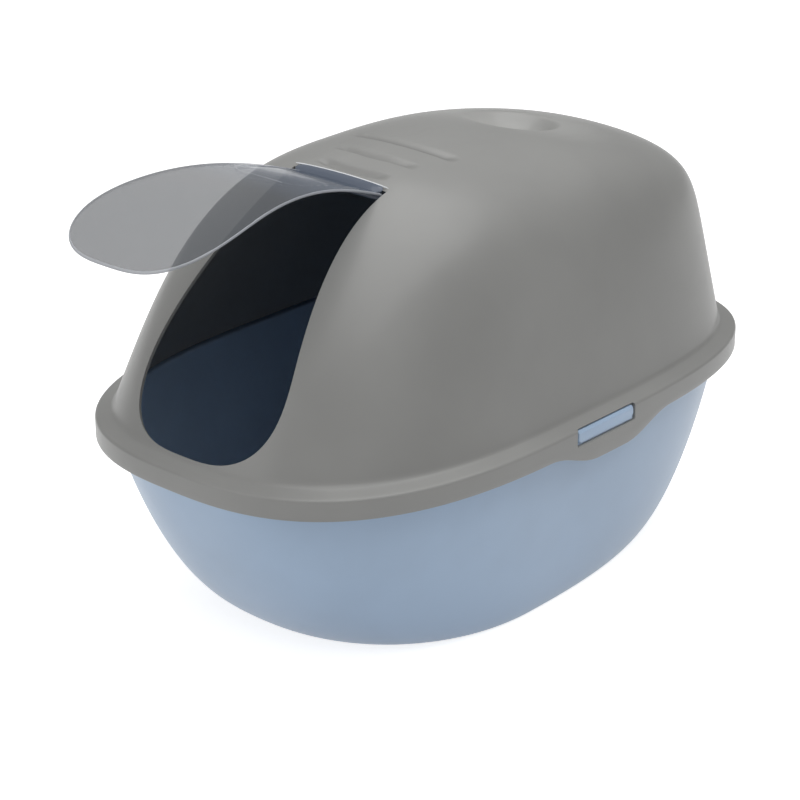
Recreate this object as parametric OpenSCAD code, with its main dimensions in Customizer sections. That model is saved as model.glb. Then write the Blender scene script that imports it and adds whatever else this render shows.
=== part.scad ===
// Hooded cat litter box: a round-bottomed tray, a hood that drops over it with a stepped-out
// skirt, and a clear flap on a hinge rod in the arched doorway. The box stands on z = 0, its
// widest point is at y = 0 and its front faces -Y.

/* [Rim] */
// Half the width over the skirt
rim_half_w = 192.5; // [175:0.5:210]
// Length over the skirt, ahead of the widest point
rim_front = 272; // [255:1:290]
// Length over the skirt, behind the widest point
rim_rear = 333; // [310:1:355]
// Squareness of the plan at the front, where 2 is an ellipse
front_square = 2.7; // [2.3:0.1:3.2]
// Squareness of the plan at the rear
rear_square = 3.45; // [2.8:0.05:4.2]

/* [Tray] */
// Height of the tray's rim
tray_h = 176; // [160:1:190]
// Thickness of the tray
tray_wall = 3; // [2.5:0.1:4]
// Half the width of the flat foot
foot_half_w = 147; // [130:1:160]
// Foot length ahead of the widest point
foot_front = 152; // [130:1:170]
// Foot length behind the widest point
foot_rear = 254; // [235:1:270]
// Share of the wall that runs straight from foot to rim, the rest being a round swell
wall_straight = 0.42; // [0.2:0.02:0.7]
// Height of the lip that turns down round the rim
lip_h = 12; // [8:0.5:14]
// Clear gap between the tray's lip and the skirt
lip_gap = 1.5; // [1:0.1:2.5]

/* [Hood] */
// Height of the top of the hood
hood_h = 381; // [360:1:400]
// Thickness of the hood
hood_wall = 3; // [2.5:0.1:3.5]
// Where the top is highest, behind the widest point
peak_y = 29; // [10:1:50]
// Fall of the top towards the front, before it rounds over
front_fall = 18; // [8:1:30]
// Fall of the top towards the rear
rear_fall = 54; // [40:1:65]
// Fall of the top towards each side
side_fall = 27; // [18:1:36]
// Lean of the front wall, in mm for each mm of height
front_lean = 0.49; // [0.4:0.01:0.56]
// Lean of each side wall
side_lean = 0.26; // [0.2:0.01:0.32]
// Lean of the rear wall
rear_lean = 0.12; // [0.06:0.01:0.2]
// Squareness of the bend from front wall to top
front_bend = 2.8; // [2.5:0.1:3.2]
// Squareness of the bend from side wall to top
side_bend = 6.4; // [5:0.1:8]
// Squareness of the bend from rear wall to top
rear_bend = 12; // [9:0.5:14]

/* [Skirt] */
// Gap between the tray's rim and the ledge that rests over it
seat_gap = 0.4; // [0.3:0.1:0.6]
// Height of the skirt
skirt_h = 18.5; // [17:0.5:22]
// Width of the sloping ledge between the skirt and the wall above
ledge_w = 13.5; // [12:0.5:16]
// Rise of the ledge
ledge_rise = 3.5; // [2.5:0.5:5]
// Thickness of the skirt
skirt_t = 2.5; // [2.2:0.1:3]
// Radius of the skirt's upper edge
skirt_r = 3; // [2:0.5:4]

/* [Finger tab] */
// Drop of the tab below the skirt's edge
tab_drop = 15; // [8:0.5:18]
// Middle of the tab, behind the widest point
tab_y = 48; // [30:1:60]
// Length of the tab's straight lower edge
tab_flat = 36; // [20:1:50]
// Length of the sweep on each side of it
tab_sweep = 64; // [45:1:80]

/* [Latch] */
// Middle of the lug and its slot, behind the widest point
latch_y = 39; // [30:1:60]
// Length of the lug
lug_len = 74; // [50:1:80]
// Height of the lug
lug_h = 11.5; // [8:0.5:12]
// Bevel of the lug's edges
lug_bevel = 2.5; // [1:0.5:3]
// Gap all round the lug in its slot
lug_gap = 0.8; // [0.5:0.1:1.2]
// Depth of the lug's middle below the tray's rim
lug_drop = 4; // [3:0.5:5]
// How deep the lug's face lies behind the skirt's face
lug_back = 1.3; // [1.1:0.1:1.5]
// Clearance of the channel that the lug passes down as the hood lifts
channel_gap = 0.35; // [0.3:0.05:0.4]

/* [Doorway] */
// Half the width of the doorway at its neck, under the hinge
neck_half_w = 50.5; // [46:0.5:54]
// Half the width of the doorway at its widest
door_half_w = 80; // [72:0.5:88]
// Distance below the hinge at which the doorway starts to widen
door_flare_a = 8.5; // [5:0.5:25]
// Distance below the hinge at which it is widest
door_flare_b = 242; // [200:1:245]
// Length of the rounding at the foot of the doorway
door_foot = 99; // [85:1:110]
// Squareness of that rounding, where 2 is an ellipse
door_round = 3; // [2.4:0.1:3.4]
// Height of the sill above the ledge
sill_rise = 3; // [2:0.5:8]

/* [Flap] */
// Gap between the flap and the doorway
flap_gap = 2; // [1.8:0.1:3]
// Thickness of the flap
flap_t = 2.2; // [1.8:0.1:3]
// Bulge of the flap along its length
flap_bulge = 29.2; // [22:0.2:30]
// Share by which the bulge sits nearer to the foot
flap_bias = 0.09; // [0:0.01:0.2]
// Share by which its ends are flatter than an even arc
flap_ends = 0.05; // [0:0.01:0.2]
// Fall of the flap's root from its middle to the edge of the doorway
flap_crown = 1.8; // [1:0.1:1.9]
// How far the flap stands open
flap_open = 44.6; // [0:0.2:50]
// Reach of the lip at its root, which stands over the top's edge when the flap is open
lip_reach = 6.5; // [5:0.5:8]
// How far each end of that lip stands past the doorway
lip_past = 0.5; // [0:0.5:4]
// Gap between the lip and the top at their middle, more than at the ends
lip_rest = 2; // [1.9:0.1:3]

/* [Hinge] */
// Place of the hinge, ahead of the widest point
hinge_front = 77; // [65:1:90]
// Depth of the hinge axis under the top
hinge_depth = 3.8; // [3.4:0.1:6]
// Radius of the rod
rod_r = 1.3; // [1.1:0.1:1.5]
// Radius of the flap's barrel round the rod
barrel_r = 3; // [2.8:0.1:3.3]
// Running gap between the rod and the barrel, on the radius
run_gap = 0.08; // [0.05:0.01:0.1]
// Gap between the rod and its sockets, on the radius
socket_gap = 0.03; // [0.01:0.01:0.05]
// Radius of each socket boss in the top
boss_r = 2.8; // [2.6:0.1:3]
// Length of each socket boss
boss_len = 6; // [5:0.5:8]

/* [Hand hold] */
// Place of the hand hold, behind the widest point
hold_y = 145; // [130:1:160]
// Radius of its mouth
hold_r = 42; // [34:1:46]
// Depth of the hand hold
hold_depth = 19; // [12:1:24]
// Radius of the rolled edge of its mouth
hold_lip_r = 4; // [2:0.5:5]

/* [Grooves] */
// Places of the three grooves, from front to rear
groove_y = [-61, -34, 3];
// Their half lengths
groove_half = [35, 39, 45];
// Their widths
groove_w = [10, 12, 16];
// Depth of each groove
groove_d = 1.5; // [0.8:0.1:1.8]

/* [Hidden] */

// Points round each ring of the shells, and rings from foot to rim
n_round = 64;
n_swell = 9;
// Squareness of the foot, and roundness of the tray's swell
foot_square = [2.14, 2.56];
swell = 2;
// Turns up the hood's wall and top at which it has a ring, dense where the bend is
hood_turns = [0, 11, 21, 29, 35, 40, 44, 48, 52, 57, 63, 70, 79];

skirt_top = tray_h + seat_gap + hood_wall;
skirt_z = skirt_top - skirt_h;
wall_z = skirt_top + ledge_rise;
lip_out = skirt_t + lip_gap;
lip_in = lip_out + tray_wall;
tray_top_z = tray_h - tray_wall;
lug_x = rim_half_w - lug_back;
slot_z = tray_h - lug_drop;
slot_len = lug_len + 2 * lug_gap;
slot_h = lug_h + 2 * lug_gap;
rod_half = neck_half_w + boss_len - 1;
barrel_half = neck_half_w - flap_gap - 0.5;

// A point on the unit curve |x|^e + |y|^e = 1 at the angle a
function lame(a, e) = let (r = pow(pow(abs(cos(a)), e) + pow(abs(sin(a)), e), -1 / e))
    [r * cos(a), r * sin(a)];

// One ring of the plan: sizes [half width, front, rear], squareness [front, rear], height
function ring(s, e, z) = [for (i = [0:n_round - 1]) let (a = 360 * i / n_round)
    let (u = lame(a, a > 180 ? e[0] : e[1])) [s[0] * u[0], (a > 180 ? s[1] : s[2]) * u[1], z]];

// The rim's own ring, drawn in by an inset
rim_square = [front_square, rear_square];
function rim_ring(inset, z) =
    ring([rim_half_w - inset, rim_front - inset, rim_rear - inset], rim_square, z);

// A closed skin through rings, from a first middle point to a last one
module skin(first, rings, last) {
    n = n_round;
    rows = len(rings);
    end = rows * n + 1;
    polyhedron(
        points = concat([first], [for (r = rings) each r], [last]),
        faces = concat(
            [for (i = [0:n - 1]) [0, 1 + i, 1 + (i + 1) % n]],
            [for (k = [0:rows - 2], i = [0:n - 1])
                let (j = (i + 1) % n, a = 1 + k * n + i, b = 1 + k * n + j)
                each [[a, a + n, b + n], [a, b + n, b]]],
            [for (i = [0:n - 1]) [end - n + i, end, end - n + (i + 1) % n]]
        ),
        convexity = 6
    );
}

// Between a and b at the share t, and a share that eases in and out
function mix(a, b, t) = a + (b - a) * t;
function smooth(t) = let (c = min(1, max(0, t))) c * c * (3 - 2 * c);

// Tray

// The tray's wall at the share u of its height, drawn in by an inset
function tray_ring(u, inset, z) = let (
    g = mix(sqrt(1 - pow(1 - u, swell)), u, wall_straight),
    top = [rim_half_w, rim_front, rim_rear] - ledge_w * [1, 1, 1],
    s = mix([foot_half_w, foot_front, foot_rear], top, g) - inset * [1, 1, 1]
) ring(s, mix(foot_square, rim_square, g), z);

module tray_shell() {
    outer = [for (i = [0:n_swell]) let (u = pow(i / n_swell, 2))
        tray_ring(u, 0, tray_top_z * u * 0.985)];
    rim = [
        rim_ring(ledge_w - 1.5, tray_top_z),
        rim_ring(lip_in, tray_top_z),
        rim_ring(lip_in, tray_h - lip_h),
        rim_ring(lip_out, tray_h - lip_h),
        rim_ring(lip_out, tray_h - 1),
        rim_ring(lip_out + 1, tray_h),
        rim_ring(ledge_w + tray_wall - 1.5, tray_h),
        rim_ring(ledge_w + tray_wall, tray_h - 1.5)
    ];
    inner = [for (i = [n_swell:-1:0]) let (u = pow(i / n_swell, 2))
        tray_ring(u, tray_wall, mix(tray_wall, tray_top_z * 0.985, u))];
    skin([0, 0, 0], concat(outer, rim, inner), [0, 0, tray_wall]);
}

// One latch lug: a bevelled bar on the lip's outer face
module lug() {
    b = lug_bevel;
    l = lug_len / 2;
    h = lug_h / 2;
    depth = lug_x - (rim_half_w - lip_out) + 1;
    translate([rim_half_w - lip_out - 1, latch_y, slot_z])
        difference() {
            rotate([90, 0, 90])
                linear_extrude(depth)
                    polygon([[-l + b, -h], [l - b, -h], [l, -h + 1.6 * b], [l, h - b / 2],
                        [l - b / 2, h], [-l, h], [-l, -h + b]]);
            translate([depth, 0, h])
                rotate([0, 45, 0])
                    cube([b / 2, lug_len + 2, b], center = true);
        }
}

module tray() {
    color([0.61, 0.69, 0.77])
        union() {
            tray_shell();
            for (side = [0, 1])
                mirror([side, 0, 0])
                    lug();
        }
}

// Hood

// Height of the top over a point of the wall's plan, before the bend
function top_plane(x, y) = hood_h
    - (y < peak_y ? front_fall * pow((peak_y - y) / (rim_front + peak_y), 2)
        : rear_fall * pow((y - peak_y) / (rim_rear - peak_y), 2))
    - side_fall * pow(x / rim_half_w, 2);

// A point of the hood at the plan angle a and the turn t, from 0 at the ledge to 90 at the top
function hood_point(a, t, inset) = let (
    w = rim_half_w - ledge_w - inset,
    f = rim_front - ledge_w - inset,
    r = rim_rear - ledge_w - inset,
    u = lame(a, a > 180 ? front_square : rear_square),
    ahead = pow(max(0, -u[1]), 2),
    behind = pow(max(0, u[1]), 2),
    bend = front_bend * ahead + rear_bend * behind + side_bend * (1 - ahead - behind),
    m = lame(t, bend),
    x = w * u[0] * m[0],
    y = (a > 180 ? f : r) * u[1] * m[0],
    up = (top_plane(x, y) - inset - wall_z) * m[1]
) [x * (1 - side_lean * up / w), y * (1 - (a > 180 ? front_lean / f : rear_lean / r) * up),
    wall_z + up];

function hood_ring(t, inset) =
    [for (i = [0:n_round - 1]) hood_point(360 * i / n_round, t, inset)];

// The turn at which the middle line of the hood passes a place y, found by halving
function turn_at(y, lo = 0, hi = 90, n = 24) = let (m = (lo + hi) / 2)
    n == 0 ? m
    : abs(hood_point(y < 0 ? 270 : 90, m, 0)[1]) > abs(y) ? turn_at(y, m, hi, n - 1)
    : turn_at(y, lo, m, n - 1);
function top_z(y) = hood_point(y < 0 ? 270 : 90, turn_at(y), 0)[2];
function top_tilt(y) = atan2(top_z(y + 5) - top_z(y - 5), 10);

module hood_shell() {
    last = len(hood_turns) - 1;
    inner = [for (i = [last:-1:0]) hood_ring(hood_turns[i], hood_wall)];
    skirt = [
        rim_ring(ledge_w + hood_wall, wall_z - hood_wall),
        rim_ring(skirt_t + 1, skirt_top - hood_wall),
        rim_ring(skirt_t, skirt_top - hood_wall - 1),
        rim_ring(skirt_t, skirt_z - tab_drop),
        rim_ring(0, skirt_z - tab_drop),
        rim_ring(0, skirt_top - skirt_r),
        rim_ring(skirt_r * (1 - cos(45)), skirt_top - skirt_r * (1 - sin(45))),
        rim_ring(skirt_r, skirt_top + ledge_rise * skirt_r / ledge_w),
        rim_ring(ledge_w - 1.5, wall_z - 0.4)
    ];
    outer = [for (i = [0:last]) hood_ring(hood_turns[i], 0)];
    skin([0, 0, top_plane(0, 0) - hood_wall], concat(inner, skirt, outer),
        [0, 0, top_plane(0, 0)]);
}

// Everything below the skirt's edge, which dips round each finger tab
module skirt_trim() {
    far = rim_rear + rim_front;
    low = skirt_z - tab_drop - 1;
    half = tab_flat / 2 + tab_sweep;
    sweep = [for (i = [-12:12]) let (
        y = half * i / 12,
        s = max(0, abs(y) - tab_flat / 2) / tab_sweep
    ) [tab_y + y, skirt_z - tab_drop * pow(cos(90 * s), 2)]];
    rotate([90, 0, 90])
        linear_extrude(2 * far, center = true)
            polygon(concat([[-far, low], [-far, skirt_z]], sweep, [[far, skirt_z], [far, low]]));
}

// The slot for one lug and the channel below it, on the skirt's inner face
module latch_cut() {
    r = 2;
    depth = lip_out + 1 + channel_gap;
    translate([rim_half_w - depth, latch_y, slot_z])
        rotate([90, 0, 90])
            linear_extrude(depth + 2) {
                square([slot_len - 2 * r, slot_h], center = true);
                square([slot_len, slot_h - 2 * r], center = true);
                for (y = [-1, 1], z = [-1, 1])
                    translate([y * (slot_len / 2 - r), z * (slot_h / 2 - r)])
                        circle(r, $fn = 24);
            }
    translate([rim_half_w - depth, latch_y - slot_len / 2, skirt_z - tab_drop - 1])
        cube([depth - lug_back + channel_gap, slot_len, slot_z - skirt_z + tab_drop + 1]);
}

// Doorway, in the frame of the hinge: -Y runs down the doorway and +Z points out of it
hinge_y = -hinge_front;
hinge_z = top_z(hinge_y) - hinge_depth;
sill_y = front_lean * sill_rise - (rim_front - ledge_w);
sill_z = wall_z + sill_rise;
door_slope = atan2(hinge_z - sill_z, hinge_y - sill_y);
door_len = norm([hinge_y - sill_y, hinge_z - sill_z]);
door_top = barrel_r + 2.6;

module at_hinge(slope) {
    translate([0, hinge_y, hinge_z])
        rotate([slope, 0, 0])
            children();
}

// Half width at the distance v below the hinge, drawn in by a gap
function half_at(v, gap) = let (
    body = mix(neck_half_w, door_half_w,
        smooth((v - door_flare_a) / (door_flare_b - door_flare_a))),
    e = min(1, max(0, (v + gap - (door_len - door_foot)) / door_foot))
) (body - gap) * pow(1 - pow(e, door_round), 1 / door_round);

// Stations from the hinge to the foot, closer together where the foot rounds
function stations(from, to, steps) =
    [for (i = [0:steps]) mix(from, to, sin(90 * pow(i / steps, 0.8)))];

module doorway() {
    v = stations(0, door_len, 26);
    right = [for (s = v) [half_at(s, 0), -s]];
    left = [for (i = [len(v) - 2:-1:0]) [-half_at(v[i], 0), -v[i]]];
    at_hinge(door_slope)
        translate([0, 0, -45])
            linear_extrude(110)
                polygon(concat([[neck_half_w, door_top]], right, left,
                    [[-neck_half_w, door_top]]));
}

// The two bosses in the top that hold the ends of the rod
module bosses() {
    for (side = [-1, 1])
        at_hinge(0)
            translate([side * (neck_half_w + boss_len / 2 - 0.5), 0, 0])
                rotate([0, 90, 0])
                    cylinder(r = boss_r, h = boss_len + 1, center = true, $fn = 48);
}

// The hand hold, as a bowl that hangs in the top, and the hollow that it leaves
hold_tilt = top_tilt(hold_y);
hold_sphere = (hold_r * hold_r + hold_depth * hold_depth) / (2 * hold_depth);

module at_hold() {
    translate([0, hold_y, top_z(hold_y)])
        rotate([hold_tilt, 0, 0])
            children();
}

module hold_bowl() {
    rim_low = 2.4;
    arc = asin(hold_r / (hold_sphere + hood_wall));
    centre = hold_sphere - hold_depth;
    at_hold()
        rotate_extrude($fn = 72)
            polygon(concat(
                [[0, -rim_low], [0, -hold_depth - hood_wall]],
                [for (i = [1:10]) let (a = arc * i / 10)
                    (hold_sphere + hood_wall) * [sin(a), -cos(a)] + [0, centre]],
                [[hold_r + hood_wall + 1, -rim_low - 2], [hold_r + hood_wall + 1, -rim_low]]
            ));
}

module hold_hollow() {
    centre = hold_sphere - hold_depth;
    arc = asin((hold_r - hold_lip_r) / hold_sphere);
    edge_z = centre - hold_sphere * cos(arc);
    at_hold()
        rotate_extrude($fn = 72)
            polygon(concat(
                [for (i = [0:10]) let (a = arc * i / 10)
                    hold_sphere * [sin(a), -cos(a)] + [0, centre]],
                [for (i = [1:4]) let (a = 22.5 * i)
                    [hold_r - hold_lip_r * cos(a), mix(edge_z, 0.2, sin(a))]],
                [[hold_r, 12], [0, 12]]
            ));
}

// One groove across the top: a rod with ball ends, sunk a little into it
module groove(y, half, width) {
    r = (width * width / 4 + groove_d * groove_d) / (2 * groove_d);
    reach = half - width / 2;
    translate([0, y, top_z(y) + r - groove_d])
        rotate([0, 90, 0]) {
            cylinder(r = r, h = 2 * reach, center = true, $fn = 96);
            for (side = [-1, 1])
                translate([0, 0, side * reach])
                    sphere(r, $fn = 96);
        }
}

module hood() {
    color([0.59, 0.59, 0.58])
        difference() {
            union() {
                hood_shell();
                bosses();
                hold_bowl();
            }
            skirt_trim();
            doorway();
            hold_hollow();
            for (i = [0:len(groove_y) - 1])
                groove(groove_y[i], groove_half[i], groove_w[i]);
            for (side = [0, 1])
                mirror([side, 0, 0])
                    latch_cut();
            at_hinge(0)
                rotate([0, 90, 0])
                    cylinder(r = rod_r + socket_gap, h = 2 * rod_half + 1, center = true, $fn = 48);
        }
}

// Flap and its rod

flap_root_z = barrel_r + flap_t / 2 - 0.2;
flap_len = door_len - flap_gap;

// Fall of the flap's root at a distance x from its middle
function root_fall(x) = flap_crown * pow(x / neck_half_w, 2);

// Height of the flap's middle surface over the hinge frame
function flap_z(x, v) = let (s = v / flap_len)
    (flap_root_z - root_fall(x)) * (1 - s)
    + 4 * flap_bulge * s * (1 - s) * (1 - flap_bias * (1 - 2 * s) - flap_ends * pow(1 - 2 * s, 2));

module flap_sheet() {
    cols = 14;
    v = stations(-0.3, flap_len - 0.6, 26);
    rows = len(v);
    side = function (dz) [for (s = v, j = [0:cols])
        let (x = half_at(s, flap_gap) * (2 * j / cols - 1)) [x, -s, flap_z(x, s) + dz]];
    c = cols + 1;
    back = rows * c;
    last = (rows - 1) * c;
    polyhedron(
        points = concat(side(flap_t / 2), side(-flap_t / 2)),
        faces = concat(
            [for (k = [0:rows - 2], j = [0:cols - 1]) let (a = k * c + j)
                each [[a, a + 1, a + c + 1], [a, a + c + 1, a + c]]],
            [for (k = [0:rows - 2], j = [0:cols - 1]) let (a = back + k * c + j)
                each [[a, a + c, a + c + 1], [a, a + c + 1, a + 1]]],
            [for (k = [0:rows - 2]) let (a = k * c)
                each [[a, a + c, a + c + back], [a, a + c + back, a + back]]],
            [for (k = [0:rows - 2]) let (a = k * c + cols)
                each [[a, a + back, a + c + back], [a, a + c + back, a + c]]],
            [for (j = [0:cols - 1])
                each [[j, j + back, j + back + 1], [j, j + back + 1, j + 1]]],
            [for (j = [0:cols - 1]) let (a = last + j)
                each [[a, a + 1, a + 1 + back], [a, a + 1 + back, a + back]]]
        ),
        convexity = 4
    );
}

// A bar across the flap that follows its root
module crowned(section, half) {
    cols = 16;
    n = len(section);
    points = [for (j = [0:cols], q = section) let (x = half * (2 * j / cols - 1))
        [x, q[0], q[1] - root_fall(x)]];
    translate([0, hinge_y, hinge_z])
        polyhedron(
            points = points,
            faces = concat(
                [[for (k = [0:n - 1]) k]],
                [for (j = [0:cols - 1], k = [0:n - 1])
                    let (a = j * n + k, b = j * n + (k + 1) % n)
                    each [[a, a + n, b + n], [a, b + n, b]]],
                [[for (k = [n - 1:-1:0]) cols * n + k]]
            )
        );
}

// The lip at the flap's root: a web that rises from the barrel, and a rim that stands over the top
module flap_lip() {
    slope = tan(top_tilt(hinge_y + lip_reach / 2));
    over = function (dy) hinge_depth + lip_rest + slope * dy;
    t = 0.8 * flap_t;
    start = barrel_r - 1;
    web_rear = start + 0.4;
    end = lip_reach;
    nose = end - 0.7;
    foot_z = 0.55 * barrel_r;
    crowned([[-1.8, foot_z], [1.3, foot_z], [web_rear, over(web_rear) + 0.3],
        [web_rear, over(web_rear) + t - 0.3], [-3.5, flap_root_z + 0.7 * flap_t]],
        barrel_half - 0.6);
    crowned([[start, over(start)], [nose, over(nose)], [end, over(end) + 0.5 * t],
        [nose, over(nose) + t], [start, over(start) + t]], neck_half_w + lip_past);
}

module flap() {
    color([0.5, 0.52, 0.54, 0.6])
        difference() {
            union() {
                at_hinge(door_slope - flap_open)
                    flap_sheet();
                flap_lip();
                at_hinge(0)
                    rotate([0, 90, 0])
                        cylinder(r = barrel_r, h = 2 * barrel_half, center = true, $fn = 48);
            }
            at_hinge(0)
                rotate([0, 90, 0])
                    cylinder(r = rod_r + run_gap, h = 2 * barrel_half + 2, center = true, $fn = 48);
        }
}

module hinge_rod() {
    color([0.8, 0.8, 0.8])
        at_hinge(0)
            rotate([0, 90, 0])
                cylinder(r = rod_r, h = 2 * rod_half, center = true, $fn = 48);
}

tray();
hood();
flap();
hinge_rod();
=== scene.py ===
"""Hooded cat litter box: the look of it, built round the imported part."""

import math

import bpy
import numpy as np
from mathutils import Matrix, Vector


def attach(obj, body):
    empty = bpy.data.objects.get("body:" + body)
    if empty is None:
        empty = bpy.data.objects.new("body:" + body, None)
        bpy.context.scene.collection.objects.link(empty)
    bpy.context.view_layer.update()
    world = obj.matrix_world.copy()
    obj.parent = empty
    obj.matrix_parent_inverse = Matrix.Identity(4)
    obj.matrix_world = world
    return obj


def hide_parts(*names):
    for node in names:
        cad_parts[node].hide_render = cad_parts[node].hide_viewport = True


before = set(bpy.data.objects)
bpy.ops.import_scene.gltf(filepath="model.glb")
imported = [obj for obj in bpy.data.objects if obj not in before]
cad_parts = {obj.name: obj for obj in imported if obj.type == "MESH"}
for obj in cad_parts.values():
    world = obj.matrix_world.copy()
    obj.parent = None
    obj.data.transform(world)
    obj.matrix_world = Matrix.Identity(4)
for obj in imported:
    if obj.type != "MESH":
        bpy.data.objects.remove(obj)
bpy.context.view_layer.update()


# Tray. The lower pan, one injection moulding in pale blue polypropylene: a flat foot, a round
# swell up to a straight rim, and a lip turned down all round on which the hood's ledge rests.
RIM_HALF_W = 0.1925
RIM_FRONT = 0.272
RIM_REAR = 0.333
RIM_SQUARE = (2.7, 3.45)
LEDGE_W = 0.0135
SKIRT_T = 0.0025
TRAY_H = 0.176
TRAY_WALL = 0.003
FOOT = np.array([0.147, 0.152, 0.254])
FOOT_SQUARE = (2.14, 2.56)
WALL_STRAIGHT = 0.42
LIP_OUT = SKIRT_T + 0.0015
LIP_H = 0.012


def unit_curve(angle, power):
    """Points on |x|^p + |y|^p = 1 at the given angles, in degrees."""
    c = np.cos(np.radians(angle))
    s = np.sin(np.radians(angle))
    reach = (np.abs(c) ** power + np.abs(s) ** power) ** (-1.0 / power)
    return reach * c, reach * s


def plan_ring(angle, size, square, z):
    """One level ring of the plan: size is half width, front length and rear length."""
    front = angle > 180
    x, y = unit_curve(angle, np.where(front, square[0], square[1]))
    return np.stack([size[0] * x, np.where(front, size[1], size[2]) * y, z + 0 * x], axis=1)


def rim_ring(angle, inset, z):
    size = np.array([RIM_HALF_W, RIM_FRONT, RIM_REAR]) - inset
    return plan_ring(angle, size, RIM_SQUARE, z)


def round_over(angle, inset, z, radius, start, stop, steps=5):
    """Rings round an edge whose centre is at that inset and height, turning from start to stop."""
    turns = np.radians(np.linspace(start, stop, steps))
    return [rim_ring(angle, inset - radius * math.cos(t), z + radius * math.sin(t)) for t in turns]


def mesh_object(name, verts, faces, sharp=40):
    """A smooth shaded object from points in metres, with its sharp bends kept."""
    mesh = bpy.data.meshes.new(name)
    mesh.from_pydata([tuple(v) for v in verts], [], faces)
    mesh.validate()
    mesh.shade_smooth()
    mesh.set_sharp_from_angle(angle=math.radians(sharp))
    obj = bpy.data.objects.new(name, mesh)
    bpy.context.scene.collection.objects.link(obj)
    return obj


def skin(name, first, rings, last, sharp=40):
    """A closed skin from a middle point, through the rings, to another middle point."""
    n = len(rings[0])
    verts = np.vstack([[first]] + rings + [[last]])
    end = len(verts) - 1
    faces = [(0, 1 + (i + 1) % n, 1 + i) for i in range(n)]
    for k in range(len(rings) - 1):
        a = 1 + k * n
        faces += [(a + i, a + (i + 1) % n, a + n + (i + 1) % n, a + n + i) for i in range(n)]
    a = end - n
    faces += [(a + i, a + (i + 1) % n, end) for i in range(n)]
    return mesh_object(name, verts, faces, sharp)


def tray_ring(angle, u, inset, z):
    g = np.sqrt(1 - (1 - u) ** 2) * (1 - WALL_STRAIGHT) + u * WALL_STRAIGHT
    top = np.array([RIM_HALF_W, RIM_FRONT, RIM_REAR]) - LEDGE_W
    size = FOOT + (top - FOOT) * g - inset
    square = [FOOT_SQUARE[k] + (RIM_SQUARE[k] - FOOT_SQUARE[k]) * g for k in (0, 1)]
    return plan_ring(angle, size, square, z)


tray_angles = np.linspace(0, 360, 361)[:-1]
wall_top = TRAY_H - TRAY_WALL
shares = np.linspace(0, 1, 61) ** 2
outer = [tray_ring(tray_angles, 0, 0.004, 0.0)]
outer += [tray_ring(tray_angles, u, 0, wall_top * u * 0.985) for u in shares]
lip = round_over(tray_angles, LEDGE_W - 0.0015, wall_top - 0.0012, 0.0012, 180, 90)
lip += round_over(tray_angles, LIP_OUT + TRAY_WALL + 0.0008, wall_top - 0.0008, 0.0008, 90, 0)
lip += [rim_ring(tray_angles, LIP_OUT + TRAY_WALL, TRAY_H - LIP_H + 0.001)]
lip += round_over(tray_angles, LIP_OUT + TRAY_WALL / 2, TRAY_H - LIP_H + 0.0015, 0.0015, -180, 0)
lip += round_over(tray_angles, LIP_OUT + 0.002, TRAY_H - 0.002, 0.002, 0, 90)
lip += round_over(tray_angles, LEDGE_W + 0.001, TRAY_H - 0.002, 0.002, 90, 180)
inner = [tray_ring(tray_angles, u, TRAY_WALL, TRAY_WALL + (wall_top * 0.985 - TRAY_WALL) * u)
         for u in shares[::-1]]
tray = skin("tray_pan", (0, 0, 0), outer + lip + inner, (0, 0, TRAY_WALL), 50)
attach(tray, "tray")
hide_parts("tray")


class Wire:
    """A value on its way through a material; arithmetic on it adds Math nodes."""

    def __init__(self, finish, socket):
        self.finish = finish
        self.socket = socket

    def math(self, operation, a, b):
        return self.finish.node("ShaderNodeMath", {"operation": operation}, {0: a, 1: b})

    def __add__(self, other):
        return self.math("ADD", self, other)

    def __radd__(self, other):
        return self.math("ADD", other, self)

    def __sub__(self, other):
        return self.math("SUBTRACT", self, other)

    def __rsub__(self, other):
        return self.math("SUBTRACT", other, self)

    def __mul__(self, other):
        return self.math("MULTIPLY", self, other)

    def __rmul__(self, other):
        return self.math("MULTIPLY", other, self)


class Finish:
    """One material, made from nodes."""

    def __init__(self, name):
        self.material = bpy.data.materials.new(name)
        self.material.use_nodes = True
        self.tree = self.material.node_tree
        self.tree.nodes.clear()

    def node(self, kind, settings=None, sockets=None, out=0):
        made = self.tree.nodes.new(kind)
        for key, value in (settings or {}).items():
            if key == "stops":
                ramp = made.color_ramp.elements
                while len(ramp) < len(value):
                    ramp.new(0.5)
                for stop, (place, shade) in zip(ramp, value):
                    stop.position = place
                    stop.color = (shade, shade, shade, 1)
            else:
                setattr(made, key, value)
        for key, value in (sockets or {}).items():
            if isinstance(value, Wire):
                self.tree.links.new(value.socket, made.inputs[key])
            else:
                made.inputs[key].default_value = value
        return Wire(self, made.outputs[out])

    def place(self):
        """The point on the piece, in metres in the part's own frame."""
        return self.node("ShaderNodeTexCoord", out="Object")

    def noise(self, scale, detail=2.0, rough=0.5, stretch=None):
        at = self.place()
        if stretch:
            at = self.node("ShaderNodeMapping", {}, {"Vector": at, "Scale": stretch})
        return self.node("ShaderNodeTexNoise", {"noise_dimensions": "3D"},
                         {"Vector": at, "Scale": scale, "Detail": detail, "Roughness": rough})

    def ramp(self, value, *stops):
        return self.node("ShaderNodeValToRGB", {"stops": stops}, {"Fac": value})

    def blend(self, share, a, b):
        return self.node("ShaderNodeMix", {"data_type": "RGBA"}, {0: share, 6: a, 7: b}, out=2)

    def bump(self, height, strength, distance, under=None):
        sockets = {"Height": height, "Strength": strength, "Distance": distance}
        if under is not None:
            sockets["Normal"] = under
        return self.node("ShaderNodeBump", {}, sockets)

    def output(self, surface):
        end = self.tree.nodes.new("ShaderNodeOutputMaterial")
        self.tree.links.new(surface.socket, end.inputs["Surface"])
        return self.material


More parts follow.
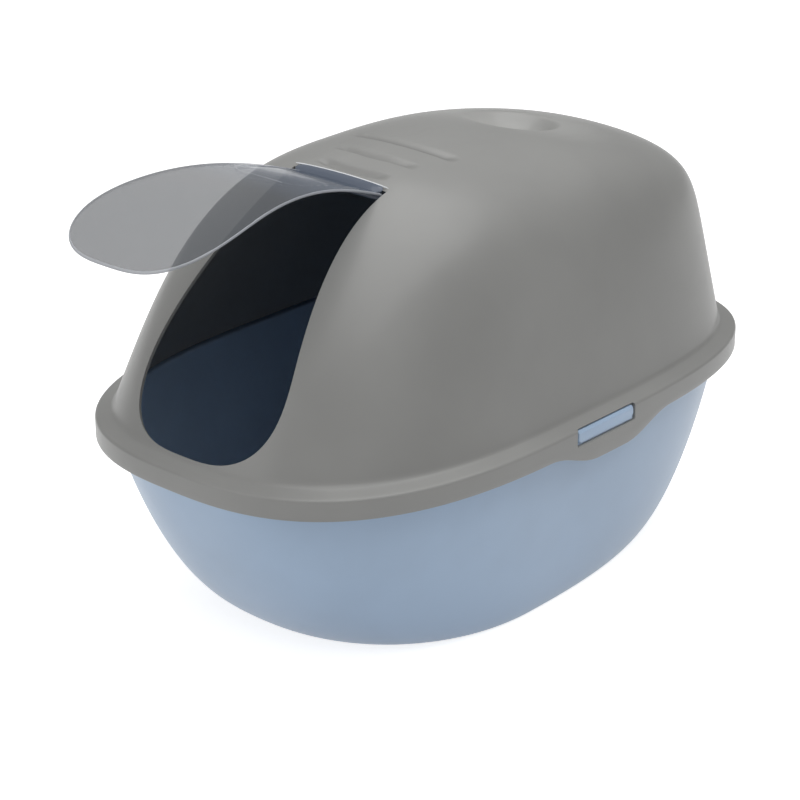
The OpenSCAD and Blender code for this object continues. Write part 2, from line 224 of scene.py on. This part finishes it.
def moulded(name, colour, rough=0.42, grain=0.05, shaded_grooves=()):
    """Moulded polypropylene: a fine grain, faint flow clouds, light rubbing, and painted shade in any
    grooves.
    """
    m = Finish(name)
    clouds = m.noise(9.0, 3.0)
    rubs = m.noise(60.0, 4.0, 0.6, stretch=(1.0, 0.25, 1.6))
    fine = m.noise(1700.0, 1.0)
    darker = tuple(c * 0.955 for c in colour) + (1,)
    paler = tuple(min(1, c * 1.035) for c in colour) + (1,)
    tone = m.blend(m.ramp(clouds, (0.35, 0.0), (0.65, 1.0)), darker, paler)
    rubbed = m.ramp(rubs, (0.55, 0.0), (0.78, 1.0))
    # Painted shade: the colour is darkened along each groove's front wall, where the groove's own shade
    # falls
    if shaded_grooves:
        x, y = (m.node("ShaderNodeSeparateXYZ", {}, {"Vector": m.place()}, out=axis) for axis in "XY")
        for front_y, half, _, groove_shade_left in shaded_grooves:
            back = m.ramp(60 * (y - front_y - GROOVE_BOW * x * x),
                          (0.0, 0.0), (0.07, 1.0), (0.42, 1.0), (0.70, 0.0))
            along = m.ramp(x * x * (1 / half ** 2), (0.7, 1.0), (1.0, 0.0))
            tone = m.blend(back * along, tone, tuple(c * groove_shade_left for c in colour) + (1,))
    surface = m.node("ShaderNodeBsdfPrincipled", {}, {
        "Base Color": tone,
        "Roughness": rough - 0.03 + 0.05 * clouds + 0.05 * rubbed,
        "IOR": 1.49,
        "Coat Weight": 0.25,
        "Coat Roughness": 0.22,
        "Normal": m.bump(fine, grain, 0.0006, m.bump(clouds, 0.04, 0.004)),
    })
    return m.output(surface)


tray.data.materials.append(moulded("tray_polypropylene", (0.435, 0.575, 0.765), 0.40))


# Latch lugs. A bevelled bar stands on each side of the tray's lip, moulded with it; the hood's
# skirt snaps over it, and its face shows through the slot.
LUG_LEN = 0.074
LUG_H = 0.0115
LUG_BEVEL = 0.0025
LUG_FACE = RIM_HALF_W - 0.0006
LUG_Y = 0.039
LUG_Z = 0.172
FACE_DEEP = 0.0016
FACE_IN = 0.0006
FACE_DOWN = 0.0026
FACE_UP = 0.0005


def lug(name, side):
    l, h, b = LUG_LEN / 2, LUG_H / 2, LUG_BEVEL
    outline = [(-l + b, -h), (l - b, -h), (l, -h + 1.6 * b), (l, h - b / 2),
               (l - b / 2, h), (-l, h), (-l, -h + b)]
    back = RIM_HALF_W - LIP_OUT - 0.001
    face = [(y * (1 - FACE_IN / l), z + (FACE_UP if z < 0 else -FACE_DOWN)) for y, z in outline]
    layers = ((back, outline), (LUG_FACE - FACE_DEEP, outline), (LUG_FACE, face))
    verts = [(side * x, LUG_Y + y, LUG_Z + z) for x, points in layers for y, z in points]
    n = len(outline)
    faces = [tuple(range(n)), tuple(range(3 * n - 1, 2 * n - 1, -1))]
    faces += [(k + i, k + i + n, k + (i + 1) % n + n, k + (i + 1) % n)
              for k in (0, n) for i in range(n)]
    if side > 0:
        faces = [f[::-1] for f in faces]
    bar = mesh_object(name, verts, faces, 60)
    soft = bar.modifiers.new("edges", "BEVEL")
    soft.width = 0.0006
    soft.segments = 3
    soft.limit_method = "ANGLE"
    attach(bar, "tray")
    bar.data.materials.append(tray.data.materials[0])
    return bar


lug("lug_right", 1)
lug("lug_left", -1)


# Hood. The cover, one moulding in warm grey polypropylene: steep sides that round over into a
# crowned top, a ledge and a skirt that drop over the tray, three shallow grooves, a hand hold,
# an arched doorway in the sloping front, and a slot over each lug.
HOOD_H = 0.381
HOOD_WALL = 0.003
PEAK_Y = 0.029
FALLS = (0.018, 0.054, 0.027)
LEANS = (0.49, 0.26, 0.12)
BENDS = (2.8, 6.4, 12.0)
SKIRT_TOP = TRAY_H + 0.0004 + HOOD_WALL
SKIRT_Z = SKIRT_TOP - 0.0185
WALL_Z = SKIRT_TOP + 0.0035
TAB = (0.015, 0.048, 0.018, 0.064)
HOLD_Y = 0.145
HOLD_R = 0.042
HOLD_DEPTH = 0.019
# Each groove's front edge, half length, width, and how much of the colour is left in its painted shade
GROOVES = ((-0.0658, 0.040, 0.010, 0.87),
           (-0.0380, 0.045, 0.011, 0.85),
           (-0.0030, 0.056, 0.014, 0.74))
GROOVE_BOW = 1.5
GROOVE_D = 0.0026
GROOVE_FRONT = 0.005
GROOVE_END = 0.014
NECK = 0.0505
HINGE_Y = -0.077


def hood_points(angle, turn, inset=0.0):
    """Points of the hood at plan angles and turns, the turn being 0 at the ledge, 90 on top."""
    w, f, r = RIM_HALF_W - LEDGE_W - inset, RIM_FRONT - LEDGE_W - inset, RIM_REAR - LEDGE_W - inset
    front = angle > 180
    ux, uy = unit_curve(angle, np.where(front, RIM_SQUARE[0], RIM_SQUARE[1]))
    ahead = np.maximum(0, -uy) ** 2
    behind = np.maximum(0, uy) ** 2
    bend = BENDS[0] * ahead + BENDS[2] * behind + BENDS[1] * (1 - ahead - behind)
    out, high = unit_curve(turn, bend)
    x = w * ux * out
    y = np.where(front, f, r) * uy * out
    top = (HOOD_H - np.where(y < PEAK_Y, FALLS[0] * ((PEAK_Y - y) / (RIM_FRONT + PEAK_Y)) ** 2,
                             FALLS[1] * ((y - PEAK_Y) / (RIM_REAR - PEAK_Y)) ** 2)
           - FALLS[2] * (x / RIM_HALF_W) ** 2)
    up = (top - inset - WALL_Z) * high
    return np.stack([x * (1 - LEANS[1] * up / w),
                     y * (1 - np.where(front, LEANS[0] / f, LEANS[2] / r) * up),
                     WALL_Z + up], axis=-1)


def top_height(y):
    """The height of the hood's middle line at a place y."""
    turns = np.linspace(20, 90, 4000)
    line = hood_points(np.full(4000, 270.0 if y < 0 else 90.0), turns)
    return float(np.interp(abs(y), np.abs(line[::-1, 1]), line[::-1, 2]))


def top_slope(y):
    return (top_height(y + 0.005) - top_height(y - 0.005)) / 0.01


def smooth(t):
    t = np.clip(t, 0, 1)
    return t * t * (3 - 2 * t)


def press_in(p, wall=0.0):
    """Sinks the hand hold and, on the outside, the grooves into points on the hood's top."""
    x, y, z = p[..., 0], p[..., 1], p[..., 2]
    tilt = math.atan(top_slope(HOLD_Y))
    sphere = (HOLD_R ** 2 + HOLD_DEPTH ** 2) / (2 * HOLD_DEPTH)
    reach = np.sqrt(x ** 2 + ((y - HOLD_Y) / math.cos(tilt)) ** 2)
    edge = (sphere - HOLD_DEPTH)
    bowl = np.where(reach < sphere * 0.96,
                    np.sqrt(np.maximum(1e-9, (sphere + wall) ** 2 - reach ** 2)) - edge - wall, -0.02)
    sink = 0.5 * (bowl + np.sqrt(bowl ** 2 + 0.0022 ** 2))
    flat = top_height(HOLD_Y) + math.tan(tilt) * (y - HOLD_Y) - wall
    near = smooth(1 - (reach - HOLD_R * 0.82) / (HOLD_R * 0.25))
    z = np.where(reach < HOLD_R * 1.35, z + (flat - z) * near - sink / math.cos(tilt), z)
    if wall == 0:
        for front_y, half, width, _ in GROOVES:
            back = y - front_y - GROOVE_BOW * x ** 2
            deep = smooth(back / GROOVE_FRONT) * (1 - smooth((back - 0.006) / (width - 0.003)))
            ends = 1 - smooth((np.abs(x) - half + GROOVE_END) / GROOVE_END)
            z = z - GROOVE_D * deep * ends
    return np.stack([x, y, z], axis=-1)


def hood_angles():
    """Plan angles, closer together at the doorway and at the hand hold."""
    a = np.arange(3600) / 10.0
    weight = 1 + 1.3 * np.exp(-((a - 90) / 22) ** 4) + 1.1 * np.exp(-((a - 270) / 40) ** 4)
    total = np.concatenate([[0], np.cumsum(weight)])
    return np.interp(np.linspace(0, total[-1], 421)[:-1], total, np.arange(3601) / 10.0)


def hood_turns():
    """Turns up the wall and over the top, dense where the top is pressed in."""
    turn = np.linspace(0, 90, 6001)
    out, high = unit_curve(turn, 6.4)
    run = np.concatenate([[0], np.cumsum(np.hypot(np.diff(out * 0.19), np.diff(high * 0.195)))])
    weight = np.where(out < 0.62, 2.6, np.where(high < 0.7, 0.75, 1.2))
    total = np.concatenate([[0], np.cumsum(np.diff(run) * weight[1:])])
    return np.interp(np.linspace(0, total[-1] * 0.9985, 230), total, turn)


angles = hood_angles()
turns = hood_turns()
side_y = rim_ring(angles, 0, 0)[:, 1]
past = np.clip(np.maximum(0, np.abs(side_y - TAB[1]) - TAB[2]) / TAB[3], 0, 1)
low = SKIRT_Z - TAB[0] * np.cos(np.pi / 2 * past) ** 2
low[np.abs(rim_ring(angles, 0, 0)[:, 0]) < 0.12] = SKIRT_Z


def at_height(ring, z):
    ring[:, 2] = z
    return ring


outside = [press_in(hood_points(angles, np.full(len(angles), t))) for t in turns]
inside = [press_in(hood_points(angles, np.full(len(angles), t), HOOD_WALL), HOOD_WALL)
          for t in turns[::-3]]
edge = 0.0008
skirt = [rim_ring(angles, LEDGE_W + HOOD_WALL, WALL_Z - HOOD_WALL),
         rim_ring(angles, SKIRT_T + 0.001, SKIRT_TOP - HOOD_WALL),
         rim_ring(angles, SKIRT_T, SKIRT_TOP - HOOD_WALL - 0.001),
         at_height(rim_ring(angles, SKIRT_T, 0), low + edge)]
for t in np.radians((210, 240, 270, 300, 330)):
    skirt += [at_height(rim_ring(angles, SKIRT_T / 2 - SKIRT_T / 2 * math.cos(t), 0),
                        low + edge + edge * math.sin(t))]
skirt += [at_height(rim_ring(angles, 0, 0), low + edge)]
skirt += [at_height(rim_ring(angles, 0, 0), low + (SKIRT_TOP - 0.003 - low) * k) for k in (0.33, 0.66)]
for t in np.radians(np.linspace(0, 75, 6)):
    skirt += [rim_ring(angles, 0.003 * (1 - math.cos(t)), SKIRT_TOP - 0.003 + 0.003 * math.sin(t))]
skirt += [rim_ring(angles, 0.0045, SKIRT_TOP + 0.0006), rim_ring(angles, 0.0095, SKIRT_TOP + 0.0022),
          rim_ring(angles, LEDGE_W - 0.0016, WALL_Z - 0.0003),
          rim_ring(angles, LEDGE_W - 0.0006, WALL_Z + 0.0004)]
crown_in = (0, 0, float(press_in(np.array([[0, 0, HOOD_H - 0.0002 - HOOD_WALL]]), HOOD_WALL)[0, 2]))
crown_out = (0, 0, float(press_in(np.array([[0, 0, HOOD_H - 0.00017]]))[0, 2]))
hood = skin("hood_cover", crown_in, inside + skirt + outside[1:], crown_out, 40)

hinge_z = top_height(HINGE_Y) - 0.0038
sill = (LEANS[0] * 0.003 - (RIM_FRONT - LEDGE_W), WALL_Z + 0.003)
door_slope = math.atan2(hinge_z - sill[1], HINGE_Y - sill[0])
door_len = math.hypot(HINGE_Y - sill[0], hinge_z - sill[1])
DOOR_HALF = 0.080
FLARE = (0.0085, 0.242)
DOOR_FOOT = 0.099


def at_hinge(slope):
    return Matrix.Translation((0, HINGE_Y, hinge_z)) @ Matrix.Rotation(slope, 4, "X")


def door_half(v, gap):
    """Half width of the doorway at a distance v below the hinge, drawn in by a gap."""
    t = np.clip((v - FLARE[0]) / (FLARE[1] - FLARE[0]), 0, 1)
    body = NECK + (DOOR_HALF - NECK) * t * t * (3 - 2 * t)
    e = np.clip((v + gap - (door_len - DOOR_FOOT)) / DOOR_FOOT, 0, 1)
    return (body - gap) * (1 - e ** 3) ** (1 / 3)


def stations(start, stop, steps):
    return start + (stop - start) * np.sin(np.pi / 2 * (np.arange(steps + 1) / steps) ** 0.8)


def prism(name, outline, frames):
    """A closed block between flat outlines, one in each frame, of (u, v) points."""
    n = len(outline)
    verts = [m @ Vector((u, v, 0)) for m in frames for u, v in outline]
    faces = [tuple(range(n))[::-1], tuple(range(n * (len(frames) - 1), n * len(frames)))]
    for k in range(len(frames) - 1):
        faces += [(k * n + i, k * n + (i + 1) % n, (k + 1) * n + (i + 1) % n, (k + 1) * n + i)
                  for i in range(n)]
    return mesh_object(name, verts, faces)


def cut_out(piece, *tools):
    for tool in tools:
        step = piece.modifiers.new("cut", "BOOLEAN")
        step.operation = "DIFFERENCE"
        step.solver = "EXACT"
        step.object = tool
    shown = piece.evaluated_get(bpy.context.evaluated_depsgraph_get())
    mesh = bpy.data.meshes.new_from_object(shown)
    piece.modifiers.clear()
    piece.data = mesh
    mesh.shade_smooth()
    mesh.set_sharp_from_angle(angle=math.radians(35))
    for tool in tools:
        bpy.data.objects.remove(tool, do_unlink=True)


v = stations(0, door_len, 70)
half = door_half(v, 0.0)
outline = [(NECK, 0.0056)] + [(h, -s) for h, s in zip(half, v)]
outline += [(-h, -s) for h, s in zip(half[-2::-1], v[-2::-1])] + [(-NECK, 0.0056)]
base = at_hinge(door_slope)
door_tool = prism("door_tool", outline[::-1],
                  [base @ Matrix.Translation((0, 0, w)) for w in (-0.045, 0.065)])


def slot_tool(side):
    """The slot, with its corners rounded and its outer edge opened a little."""
    r = 0.002
    half_l, half_h = LUG_LEN / 2 + 0.0017, LUG_H / 2 + 0.0016
    flat = []
    for cy, cz, first in ((1, 1, 0), (-1, 1, 90), (-1, -1, 180), (1, -1, 270)):
        for a in range(first, first + 91, 15):
            flat.append((cy * (half_l - r) + r * math.cos(math.radians(a)),
                         cz * (half_h - r) + r * math.sin(math.radians(a))))
    frames = []
    for x in (RIM_HALF_W - SKIRT_T - 0.002, RIM_HALF_W - 0.0008, RIM_HALF_W + 0.0012):
        turn = Matrix(((0, 0, side, side * x), (1, 0, 0, LUG_Y), (0, 1, 0, LUG_Z), (0, 0, 0, 1)))
        frames.append(turn)
    tool = prism("slot_tool", flat if side > 0 else flat[::-1], frames)
    n = len(flat)
    for i in range(2 * n, 3 * n):
        point = tool.data.vertices[i].co
        point.y += math.copysign(0.002, point.y - LUG_Y)
        point.z += math.copysign(0.002, point.z - LUG_Z)
    return tool


cut_out(hood, door_tool, slot_tool(1), slot_tool(-1))
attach(hood, "cover")
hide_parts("hood")
# The darker colour in the grooves is painted shade
hood.data.materials.append(
    moulded("hood_polypropylene", (0.286, 0.286, 0.278), 0.42, shaded_grooves=GROOVES))

# Rod and bosses. A straight rod across the top of the doorway, held at each end in a boss that
# is moulded under the hood's top.
BOSS_R = 0.0028
BOSS_LEN = 0.006


def turned(name, x0, x1, profile, bore, segments=40):
    """A turned piece along X through the hinge: (share of length, radius) points and a bore."""
    loops = [(x0, bore), (x0, profile[0][1])]
    loops += [(x0 + (x1 - x0) * s, r) for s, r in profile[1:]]
    loops += [(x1, bore)]
    verts = [(x, HINGE_Y + r * math.cos(a), hinge_z + r * math.sin(a)) for x, r in loops
             for a in np.linspace(0, 2 * math.pi, segments, endpoint=False)]
    k = len(loops)
    faces = [(j * segments + i, j * segments + (i + 1) % segments,
              ((j + 1) % k) * segments + (i + 1) % segments, ((j + 1) % k) * segments + i)
             for j in range(k) for i in range(segments)]
    return mesh_object(name, verts, faces, 50)


for name, side in (("boss_right", 1), ("boss_left", -1)):
    start = NECK if side > 0 else -NECK - BOSS_LEN
    boss = turned(name, start, start + BOSS_LEN, [(0, BOSS_R - 0.0004), (0.05, BOSS_R), (0.95, BOSS_R),
                                                  (1, BOSS_R - 0.0004)], 0.00133)
    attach(boss, "cover")
    boss.data.materials.append(hood.data.materials[0])


def glossy_plain(name, colour, rough=0.2):
    m = Finish(name)
    clouds = m.noise(40.0, 3.0)
    fine = m.noise(900.0, 1.0)
    tone = m.blend(m.ramp(clouds, (0.35, 0.0), (0.65, 1.0)), tuple(c * 0.93 for c in colour) + (1,),
                   colour + (1,))
    return m.output(m.node("ShaderNodeBsdfPrincipled", {}, {
        "Base Color": tone, "Roughness": rough + 0.06 * clouds, "IOR": 1.5,
        "Normal": m.bump(fine, 0.04, 0.0003)}))


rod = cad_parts["hinge_rod"]
rod.data.materials.clear()
rod.data.materials.append(glossy_plain("rod_acetal", (0.62, 0.64, 0.66)))


# Flap. Cut from clear smoke-tinted sheet and hot-formed: a neck round the rod's barrel, then a
# long tongue that is bulged along its length and follows the doorway's arch.
FLAP_GAP = 0.002
FLAP_T = 0.0022
BULGE = 0.0292
BIAS = 0.09
ENDS = 0.05
CROWN = 0.0018
FLAP_OPEN = math.radians(44.6)
BARREL_R = 0.003
flap_len = door_len - FLAP_GAP
root = BARREL_R + FLAP_T / 2 - 0.0002

down = np.concatenate([np.linspace(-0.0003, 0.12, 120),
                       0.12 + (flap_len - 0.12) * np.sin(np.pi / 2 * np.linspace(0, 1, 110)[1:])])
wide = door_half(down, FLAP_GAP)
wide[-1] = 0.0001
across = np.sin(np.linspace(-math.pi / 2, math.pi / 2, 111))
gx = wide[:, None] * across[None, :]
gv = down[:, None] + 0 * gx
s = gv / flap_len
gz = ((root - CROWN * (gx / NECK) ** 2) * (1 - s)
      + 4 * BULGE * s * (1 - s) * (1 - BIAS * (1 - 2 * s) - ENDS * (1 - 2 * s) ** 2))
rim = np.concatenate([np.stack([wide, down], 1), np.stack([-wide, down], 1)])
far = np.full(gx.shape, 1.0)
for k in range(0, len(rim) - 1):
    if k == len(wide) - 1:
        continue
    a, b = rim[k], rim[k + 1]
    ab = b - a
    t = np.clip(((gx - a[0]) * ab[0] + (gv - a[1]) * ab[1]) / max(1e-12, ab @ ab), 0, 1)
    far = np.minimum(far, np.hypot(gx - a[0] - t * ab[0], gv - a[1] - t * ab[1]))
r = FLAP_T / 2
thick = np.sqrt(np.maximum(0, r * r - np.maximum(0, r - far) ** 2))

# The neck has a panel pressed a little down into it, with round corners at its far end.
PANEL = (0.039, 0.087, 0.020)
px = np.maximum(0, np.abs(gx) - (PANEL[0] - PANEL[2]))
pv = np.maximum(0, gv - (PANEL[1] - PANEL[2]))
edge_at = np.hypot(px, pv) - PANEL[2]
gz = gz - 0.0006 / (1 + np.exp(np.clip(edge_at / 0.0005, -40, 40)))
gz = gz + 0.0005 * np.exp(-(edge_at / 0.0007) ** 2)
rows, cols = gx.shape
place = at_hinge(door_slope - FLAP_OPEN)
turn = np.array(place)
tip_share = 1 - 0.0006 / flap_len
local = [np.stack([gx, -gv * tip_share, gz + sign * thick, 1 + 0 * gx], -1).reshape(-1, 4)
         for sign in (1, -1)]
verts = np.vstack([(p @ turn.T)[:, :3] for p in local])
back = rows * cols
faces = []
for k in range(rows - 1):
    for j in range(cols - 1):
        a = k * cols + j
        faces.append((a, a + cols, a + cols + 1, a + 1))
        faces.append((back + a, back + a + 1, back + a + cols + 1, back + a + cols))
faces += [(j, j + 1, back + j + 1, back + j) for j in range(cols - 1)]
flap = mesh_object("flap_sheet", verts, faces, 60)

# The faces near the sheet's edge and along the panel's outline get a paler material, a painted highlight
CREASE_HALF = 0.0007
margin = far.ravel()
crease = np.abs(edge_at + 0.0002).ravel()
band = (0.0012 + 0.0016 * np.exp(-(gv / 0.05) ** 2)).ravel()
for face in flap.data.polygons:
    at = [i % back for i in face.vertices]
    if np.mean(margin[at] - band[at]) < 0 or crease[at].mean() < CREASE_HALF:
        face.material_index = 1
weld = flap.modifiers.new("weld", "WELD")
weld.merge_threshold = 0.00004
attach(flap, "door")
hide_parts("flap")
barrel = turned("flap_barrel", -NECK + FLAP_GAP + 0.0005, NECK - FLAP_GAP - 0.0005,
                [(0, BARREL_R - 0.0005), (0.006, BARREL_R), (0.994, BARREL_R), (1, BARREL_R - 0.0005)],
                0.00138, 48)
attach(barrel, "door")

LIP_REACH = 0.0065
LIP_REST = 0.002
lip_slope = top_slope(HINGE_Y + LIP_REACH / 2)
lip_t = 0.8 * FLAP_T


def over(dy):
    return 0.0038 + LIP_REST + lip_slope * dy


def crowned(name, section, half, end_round, cols=60):
    """A bar across the flap that follows its root, its ends rounded off."""
    n = len(section)
    centre = np.mean(section, axis=0)
    verts = []
    for x in half * np.sin(np.linspace(-math.pi / 2, math.pi / 2, cols)):
        left = half - abs(x)
        share = 1.0 if left > end_round else math.sqrt(max(0.0, 1 - (1 - left / end_round) ** 2))
        share = max(share, 0.02)
        for q in section:
            dy, dz = centre + (np.array(q) - centre) * share
            verts.append((x, HINGE_Y + dy, hinge_z + dz - CROWN * (x / NECK) ** 2))
    faces = [tuple(range(n)), tuple(range((cols - 1) * n, cols * n))[::-1]]
    faces += [(j * n + k, (j + 1) * n + k, (j + 1) * n + (k + 1) % n, j * n + (k + 1) % n)
              for j in range(cols - 1) for k in range(n)]
    return mesh_object(name, verts, faces, 60)


# The lip: one smooth section from the sheet's root, over the rod, to a nose above the hood's top
rise = np.linspace(0, 1, 9)
from_z, to_z = root + 0.0014, over(0.003) + lip_t
top_line = [(-0.0033 + 0.0063 * k, from_z + (to_z - from_z) * float(smooth(0.15 + 0.85 * k)))
            for k in rise[1:]]
centre_y, centre_z = LIP_REACH - lip_t / 2, over(LIP_REACH - lip_t / 2) + lip_t / 2
tip = [(centre_y + lip_t / 2 * math.cos(a), centre_z + lip_t / 2 * math.sin(a))
       for a in np.radians(np.linspace(80, -100, 7))]
lip = crowned("flap_lip", ([(-0.0017, 0.0018), (-0.0033, from_z - 0.0004)] + top_line + tip
                           + [(0.0023, over(0.0023) + 0.0002), (0.0013, 0.0018)])[::-1],
              NECK - FLAP_GAP - 0.0012, 0.010)
# The bead: a thin round line along the lip's nose, coloured near white as a painted highlight
bead = crowned("flap_bead", [(centre_y - 0.0002 + 0.82 * lip_t / 2 * math.cos(a),
                              centre_z + lip_t * 0.16 + 0.82 * lip_t / 2 * math.sin(a))
                             for a in np.linspace(0, 2 * math.pi, 14, endpoint=False)],
               NECK + 0.0005, 0.012)
for bar in (lip, bead):
    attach(bar, "door")


def smoke_clear(name, tint, through, rough, root_painted_reflection=None):
    """Clear sheet with a grey tint: light passes straight through, and the faces are glossy."""
    m = Finish(name)
    clouds = m.noise(12.0, 3.0)
    scuffs = m.ramp(m.noise(220.0, 4.0, 0.6, stretch=(1.0, 0.12, 1.0)), (0.58, 0.0), (0.75, 1.0))
    tone = m.blend(m.ramp(clouds, (0.3, 0.0), (0.7, 1.0)), tuple(c * 0.94 for c in tint) + (1,),
                   tint + (1,))
    # Towards the root the tone turns bluer: a painted reflection
    if root_painted_reflection:
        along = m.node("ShaderNodeSeparateXYZ", {}, {"Vector": m.place()}, out="Y")
        tone = m.blend(m.ramp(6 * (HINGE_Y - along), (0.34, 0.0), (0.72, 1.0)), root_painted_reflection + (1,), tone)
    return m.output(m.node("ShaderNodeBsdfPrincipled", {}, {
        "Base Color": tone, "Roughness": rough + 0.08 * scuffs, "IOR": 1.49,
        "Alpha": (1 - through) + 0.02 * clouds,
        "Normal": m.bump(clouds, 0.05, 0.002)}))


# Pale smoke for the flap's edge and crease faces: a painted highlight
PAINTED_EDGE_HIGHLIGHT = smoke_clear("flap_edge", (0.42, 0.44, 0.48), 0.25, 0.12)


# The last colour is the bluer tone at the root, a painted reflection
flap.data.materials.append(
    smoke_clear("flap_smoke", (0.140, 0.150, 0.165), 0.42, 0.12, (0.17, 0.205, 0.27)))
flap.data.materials.append(PAINTED_EDGE_HIGHLIGHT)
# The barrel and lip are smoke sheet; their bluer colour is the same painted reflection as at the flap's
# root
for bar in (barrel, lip):
    bar.data.materials.append(smoke_clear(bar.name + "_smoke", (0.14, 0.165, 0.215), 0.2, 0.15))
# Near-white, almost opaque: a painted highlight
bead.data.materials.append(smoke_clear("flap_bead_clear", (0.88, 0.90, 0.93), 0.02, 0.25))


# Floor, light and camera: a plain pale studio floor, soft light from above, from the front left
# and a little from the right, and the camera where the photograph was taken from.
floor_mesh = bpy.data.meshes.new("floor")
floor_mesh.from_pydata([(-6, -6, 0), (6, -6, 0), (6, 6, 0), (-6, 6, 0)], [], [(0, 1, 2, 3)])
floor = bpy.data.objects.new("floor", floor_mesh)
floor.location.z = -0.0004
bpy.context.scene.collection.objects.link(floor)
m = Finish("floor_pale")
path = m.node("ShaderNodeLightPath", out="Is Camera Ray")
shiny = m.node("ShaderNodeLightPath", out="Is Glossy Ray")
scattered = m.node("ShaderNodeLightPath", out="Is Diffuse Ray")
grain = m.noise(60.0, 3.0)
pale = m.blend(grain, (0.62, 0.62, 0.62, 1), (0.65, 0.65, 0.65, 1))
dull = m.node("ShaderNodeBsdfDiffuse", {}, {"Color": pale})
glow = m.node("ShaderNodeEmission", {}, {
    "Color": (1, 1, 1, 1), "Strength": 0.78 * path + 0.70 * shiny + 0.05 * scattered})
floor.data.materials.append(m.output(m.node("ShaderNodeAddShader", {}, {0: dull, 1: glow})))

world = bpy.data.worlds.new("studio")
bpy.context.scene.world = world
world.use_nodes = True
nodes, links = world.node_tree.nodes, world.node_tree.links
sky = nodes["Background"]
rays = nodes.new("ShaderNodeLightPath")
first = nodes.new("ShaderNodeMath")
first.operation = "MAXIMUM"
links.new(rays.outputs["Is Camera Ray"], first.inputs[0])
links.new(rays.outputs["Is Transmission Ray"], first.inputs[1])
level = nodes.new("ShaderNodeMath")
level.operation = "MULTIPLY_ADD"
level.inputs[1].default_value = 0.7
level.inputs[2].default_value = 0.3
links.new(first.outputs[0], level.inputs[0])
links.new(level.outputs[0], sky.inputs["Strength"])
sky.inputs["Color"].default_value = (1, 1, 1, 1)


def facing(place, aim):
    return (Vector(place) - Vector(aim)).to_track_quat("Z", "Y").to_euler()


def soft_lamp(name, place, aim, size, power):
    data = bpy.data.lights.new(name, "AREA")
    data.shape = "RECTANGLE"
    data.size, data.size_y = size
    data.energy = power
    lamp = bpy.data.objects.new(name, data)
    lamp.location = place
    lamp.rotation_euler = facing(place, aim)
    bpy.context.scene.collection.objects.link(lamp)
    return lamp


soft_lamp("top_softbox", (0.2, 0.0, 2.2), (0, 0, 0.2), (3.0, 3.0), 44)
soft_lamp("front_softbox", (-0.6, -2.2, 1.0), (0, 0, 0.25), (1.4, 1.2), 7)
soft_lamp("side_softbox", (1.9, -0.5, 1.6), (0, 0, 0.2), (1.4, 1.8), 2)

# A small spot from the right rear that only reaches into the hand hold
spot = bpy.data.lights.new("hold_spot", "SPOT")
spot.energy = 24
spot.spot_size = math.radians(4.2)
spot.spot_blend = 0.3
spot.shadow_soft_size = 0.02
hold_spot = bpy.data.objects.new("hold_spot", spot)
hold_spot.location = (0.80, 0.85, 1.10)
hold_spot.rotation_euler = facing(hold_spot.location, (0, HOLD_Y, 0.36))
bpy.context.scene.collection.objects.link(hold_spot)

camera = bpy.data.objects.new("camera", bpy.data.cameras.new("camera"))
FOCAL_PIXELS = 2557.8
PHOTO_PIXELS = 800
camera.data.sensor_width = 36
camera.data.lens = camera.data.sensor_width * FOCAL_PIXELS / PHOTO_PIXELS
camera.data.clip_end = 50
azimuth, elevation, distance = math.radians(41.53), math.radians(22.98), 2.1963
target = (-0.00015, -0.00014, 0.15234)
camera.location = (target[0] + distance * math.sin(azimuth) * math.cos(elevation),
                   target[1] - distance * math.cos(azimuth) * math.cos(elevation),
                   target[2] + distance * math.sin(elevation))
camera.rotation_euler = (math.pi / 2 - elevation, 0, azimuth)
bpy.context.scene.collection.objects.link(camera)
bpy.context.scene.camera = camera
bpy.context.scene.view_settings.view_transform = "Standard"
